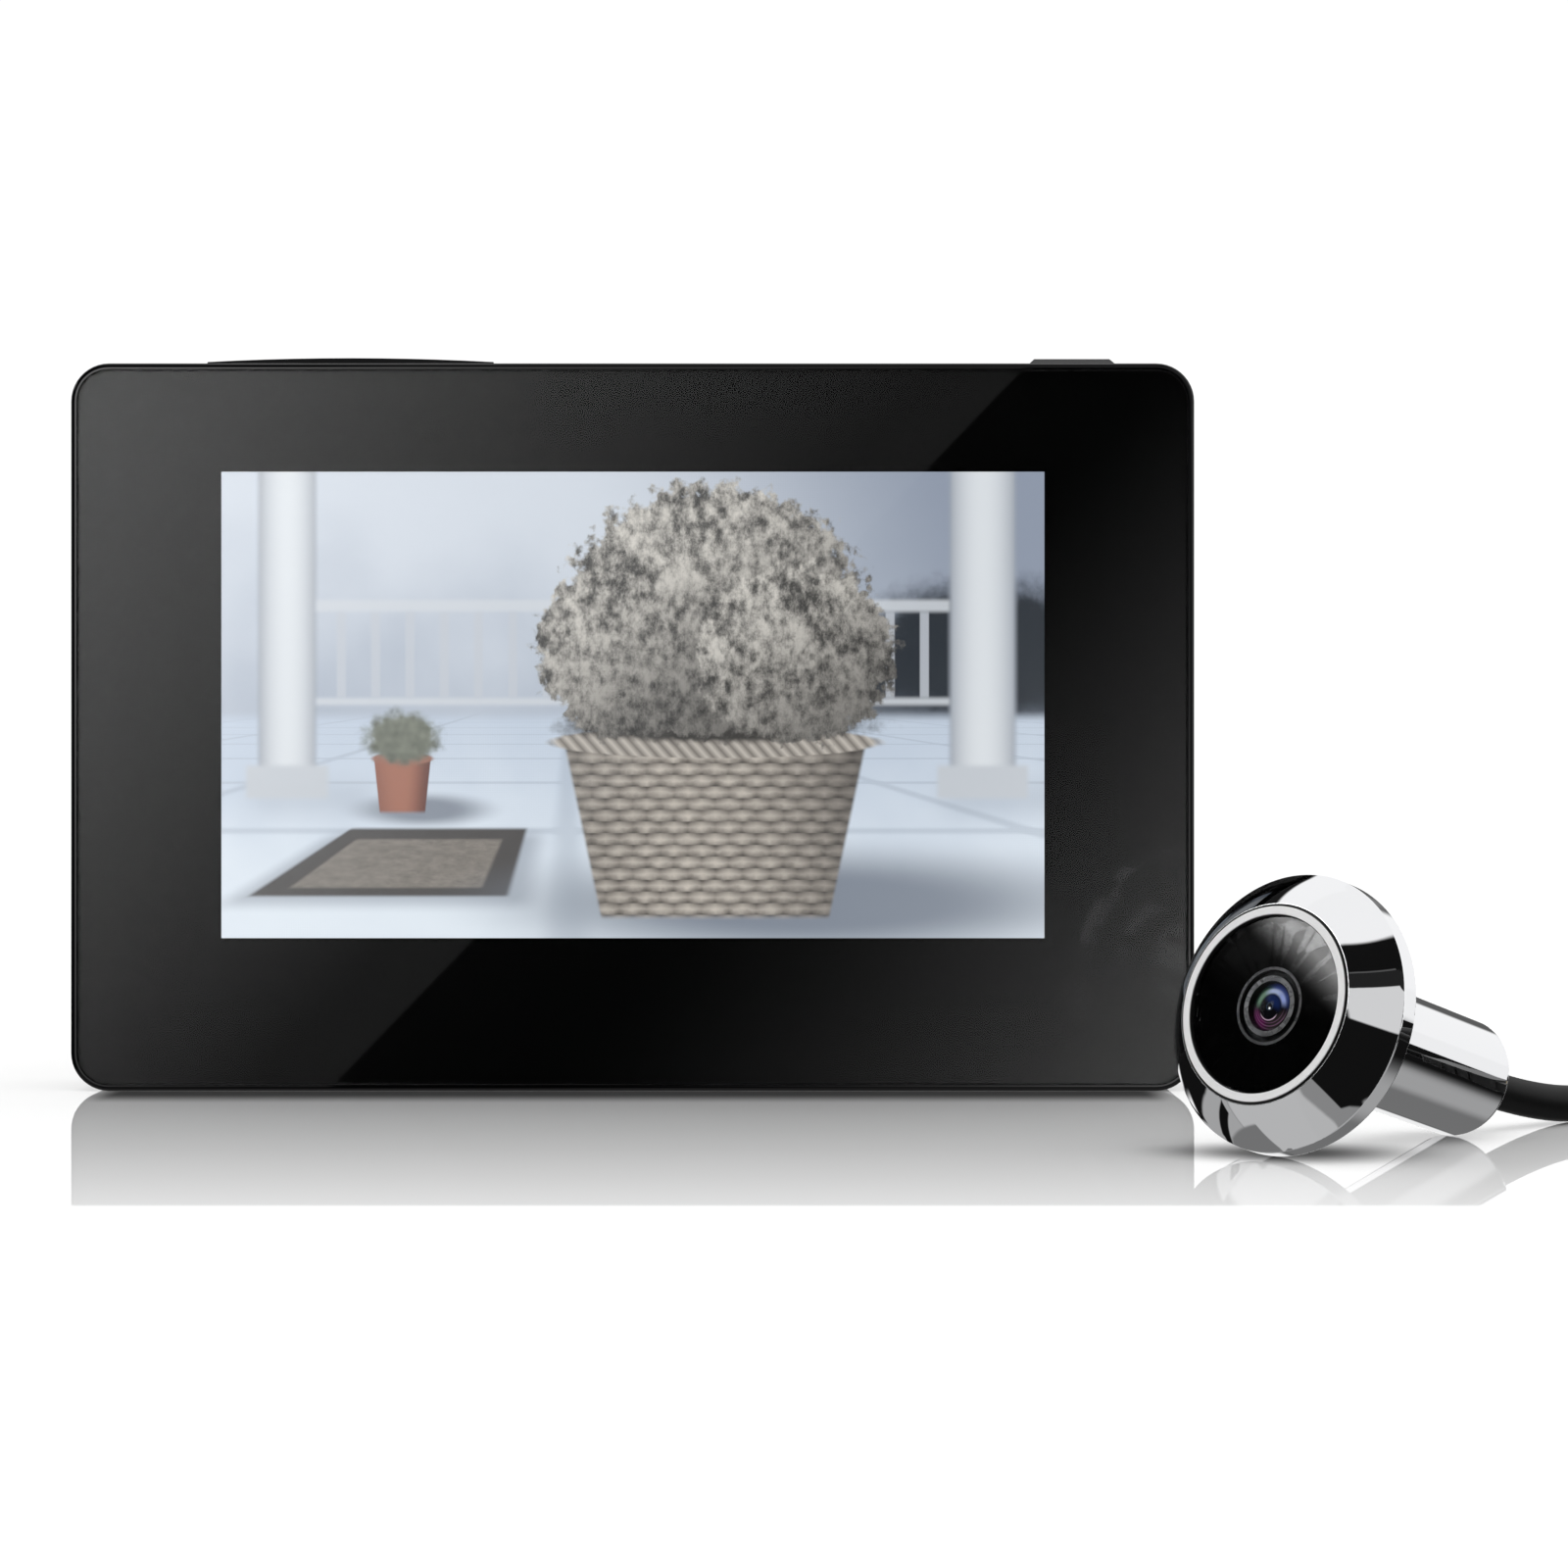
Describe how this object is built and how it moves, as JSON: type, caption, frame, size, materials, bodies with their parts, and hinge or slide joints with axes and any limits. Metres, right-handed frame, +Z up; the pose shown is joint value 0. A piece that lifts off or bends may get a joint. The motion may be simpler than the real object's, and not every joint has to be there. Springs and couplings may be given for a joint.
{
  "type": "peephole door camera",
  "caption": "Flat screen unit for the inside of a door and a chromed lens head with its lead for the peephole, standing side by side.",
  "frame": {"origin": "centre of the screen unit's bottom face", "axes": "+Z up, +X to the right of someone who looks at the screen, the screen faces -Y"},
  "size_m": [0.2225, 0.0964, 0.0852],
  "materials": {
    "case_black": "fine satin texture",
    "cover_glass": "polished clear",
    "black_ink": "gloss black print",
    "display": "lit picture",
    "tinned_steel": "pressed, dull",
    "board_green": "solder mask",
    "chip_black": "moulded",
    "socket_ivory": "moulded",
    "ribbon_amber": "film",
    "silicone": "soft, matte",
    "key_black": "smooth satin",
    "polished_pin": "ground",
    "cell_jacket": "printed sleeve, plain",
    "spring_steel": "nickel plated",
    "screw_black": "black oxide",
    "bracket_steel": "zinc plated",
    "chrome": "mirror bright",
    "satin_ring": "bright satin",
    "window": "polished, tinted",
    "bezel_black": "gloss black",
    "ring_grey": "anodised grey",
    "barrel_black": "matte black",
    "lens_glass": "coated",
    "filter_glass": "coated, bluish",
    "sensor_dark": "glass covered",
    "foam": "closed-cell foam",
    "bung_rubber": "moulded rubber",
    "lead_jacket": "smooth PVC",
    "plug_black": "moulded",
    "contact_gold": "gold plated"
  },
  "bodies": {
    "root": {"front_glass": "cover_glass", "glass_mask": "black_ink", "front_frame": "case_black", "lcd_panel": "display", "backlight_unit": "tinned_steel", "lcd_ribbon": "ribbon_amber", "ribbon_socket": "socket_ivory", "main_board": "board_green", "board_chips": "chip_black", "board_screws": "polished_pin", "camera_socket": "socket_ivory", "key_board": "board_green", "power_dome": "silicone", "menu_domes": "silicone", "rocker_pin": "polished_pin", "rear_shell": "case_black", "battery_contacts": "spring_steel", "shell_screws": "screw_black", "battery_1": "cell_jacket", "battery_2": "cell_jacket", "battery_3": "cell_jacket", "camera_housing": "chrome", "trim_ring": "satin_ring", "window_glass": "window", "lens_bezel": "bezel_black", "lens_ring": "ring_grey", "lens_barrel": "barrel_black", "lens_retainer": "ring_grey", "front_lens": "lens_glass", "inner_lenses": "lens_glass", "lens_holder": "barrel_black", "ir_filter": "filter_glass", "image_sensor": "sensor_dark", "camera_board": "board_green", "door_gasket": "foam", "cable_bung": "bung_rubber", "lead_in_tube": "lead_jacket", "camera_lead": "lead_jacket", "camera_plug": "plug_black", "plug_contacts": "contact_gold"},
    "power_key": {"power_key": "key_black"},
    "menu_rocker": {"menu_rocker": "key_black"},
    "battery_cover": {"battery_cover": "case_black"},
    "door_bracket": {"mounting_bracket": "bracket_steel"}
  },
  "joints": [
    {"name": "power_key_press", "type": "slide", "parent": "root", "child": "power_key", "axis": [0, 0, -1], "range_m": [0, 0.0004], "stiffness_N_per_m": 2500, "deforming": ["power_dome"]},
    {"name": "menu_rocker_tilt", "type": "hinge", "parent": "root", "child": "menu_rocker", "pos_m": [-0.0332, -0.001, 0.0804], "axis": [0, 1, 0], "range_deg": [-1.5, 1.5], "stiffness_Nm_per_rad": 0.6, "deforming": ["menu_domes"]},
    {"name": "battery_cover_slide", "type": "slide", "parent": "root", "child": "battery_cover", "axis": [-1, 0, 0], "range_m": [0, 0.045]},
    {"name": "bracket_slide", "type": "slide", "parent": "root", "child": "door_bracket", "axis": [0, 0, -1], "range_m": [0, 0.005]}
  ]
}
